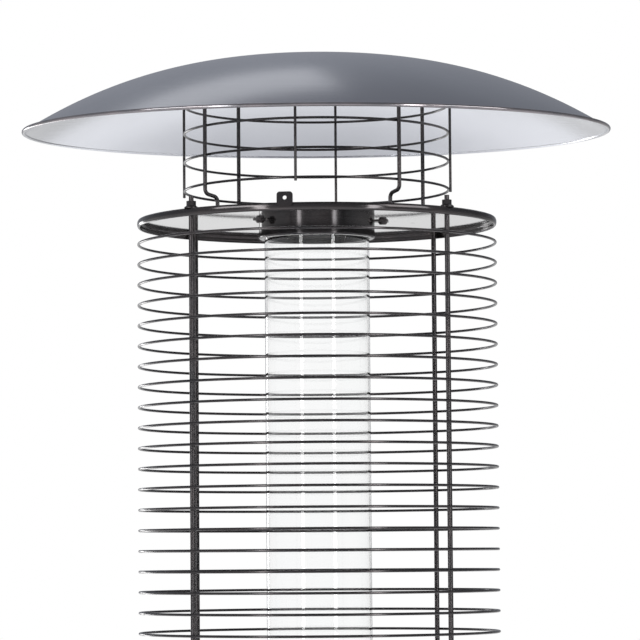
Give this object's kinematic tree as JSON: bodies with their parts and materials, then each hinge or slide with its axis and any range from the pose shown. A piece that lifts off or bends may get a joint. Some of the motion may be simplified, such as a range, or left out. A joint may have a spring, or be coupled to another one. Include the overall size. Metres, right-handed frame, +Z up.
{
  "type": "outdoor heater",
  "caption": "Round gas patio heater: domed reflector on a wire guard, clear flame tube in a wire cage, and a wheeled cabinet with a door for its gas cylinder.",
  "frame": {"origin": "on the floor, under the centre of the reflector and the glass tube", "axes": "+Z up, the door and controls face -Y, the wheels are at +Y"},
  "size_m": [0.7619, 0.7615, 2.3433],
  "materials": {
    "black_paint": "satin",
    "rubber": "matt",
    "zinc": "satin",
    "dark_plastic": "matt",
    "tyre": "matt",
    "cabinet_steel": "satin",
    "cylinder_paint": "gloss",
    "brass": "satin",
    "hand_plastic": "matt",
    "regulator_zinc": "satin",
    "cast_burner": "matt",
    "burner_steel": "satin",
    "red_plastic": "gloss",
    "hose_rubber": "matt",
    "gasket": "matt",
    "glass": "clear",
    "black_screw": "satin",
    "polished_steel": "polished",
    "cage_wire": "satin",
    "reflector_steel": "satin"
  },
  "bodies": {
    "heater": {"base_plate": "black_paint", "base_feet": "rubber", "base_bolts": "zinc", "base_nuts": "zinc", "wheel_bracket": "black_paint", "axle": "zinc", "housing_shell": "cabinet_steel", "cabinet_screws": "zinc", "shell_hinge_leaves": "black_paint", "hinge_pins": "zinc", "door_catch": "dark_plastic", "gas_cylinder": "cylinder_paint", "cylinder_collar": "cylinder_paint", "cylinder_valve": "brass", "regulator": "regulator_zinc", "cylinder_strap": "black_paint", "heat_shield": "zinc", "burner_deck": "black_paint", "burner_body": "cast_burner", "burner_screen": "burner_steel", "pilot_set": "burner_steel", "control_panel": "black_paint", "gas_valve": "brass", "igniter_body": "dark_plastic", "burner_pipe": "brass", "burner_leads": "brass", "gas_hose": "hose_rubber", "tilt_switch": "dark_plastic", "tube_seat": "black_paint", "tube_gaskets": "gasket", "glass_tube": "glass", "tube_collar": "black_paint", "collar_screws": "black_screw", "deck_plate": "polished_steel", "deck_rim": "black_paint", "tether_lug": "black_paint", "cage_rods": "cage_wire", "rod_nuts": "black_screw", "cage_rings_upper": "cage_wire", "cage_rings_lower": "cage_wire", "guard_rings": "cage_wire", "guard_uprights": "cage_wire", "guard_legs": "cage_wire", "guard_nuts": "black_screw", "reflector_carrier": "zinc", "reflector_spacer": "zinc", "reflector_bolt": "zinc", "reflector": "reflector_steel"},
    "door": {"door_panel": "cabinet_steel", "door_hinge_leaves": "black_paint", "door_handle": "black_paint", "door_strike": "zinc"},
    "control_spindle": {"control_spindle": "zinc"},
    "control_knob": {"control_knob": "dark_plastic"},
    "igniter_button": {"igniter_button": "red_plastic"},
    "cylinder_handwheel": {"cylinder_handwheel": "hand_plastic"},
    "wheel_left": {"wheel_hub_left": "dark_plastic", "tyre_left": "tyre"},
    "wheel_right": {"wheel_hub_right": "dark_plastic", "tyre_right": "tyre"}
  },
  "joints": [
    {"name": "door_hinge", "type": "hinge", "parent": "heater", "child": "door", "pos_m": [-0.18126, -0.17362, 0.385], "axis": [0, 0, -1], "range_deg": [0, 110]},
    {"name": "control_turn", "type": "hinge", "parent": "heater", "child": "control_spindle", "pos_m": [-0.034, -0.2615, 0.806], "axis": [0, -1, 0], "range_deg": [0, 200]},
    {"name": "control_push", "type": "slide", "parent": "control_spindle", "child": "control_knob", "axis": [0, 1, 0], "range_m": [0, 0.005], "stiffness_N_per_m": 600, "springref_m": -0.003},
    {"name": "igniter_push", "type": "slide", "parent": "heater", "child": "igniter_button", "axis": [0, 1, 0], "range_m": [0, 0.006], "stiffness_N_per_m": 500, "springref_m": -0.003},
    {"name": "cylinder_handwheel_turn", "type": "hinge", "parent": "heater", "child": "cylinder_handwheel", "pos_m": [0, 0, 0.458], "axis": [0, 0, 1], "range_deg": [0, 720]},
    {"name": "wheel_left_spin", "type": "hinge", "parent": "heater", "child": "wheel_left", "pos_m": [-0.091, 0.29086, 0.052], "axis": [1, 0, 0], "continuous": true},
    {"name": "wheel_right_spin", "type": "hinge", "parent": "heater", "child": "wheel_right", "pos_m": [0.091, 0.29086, 0.052], "axis": [1, 0, 0], "continuous": true}
  ]
}
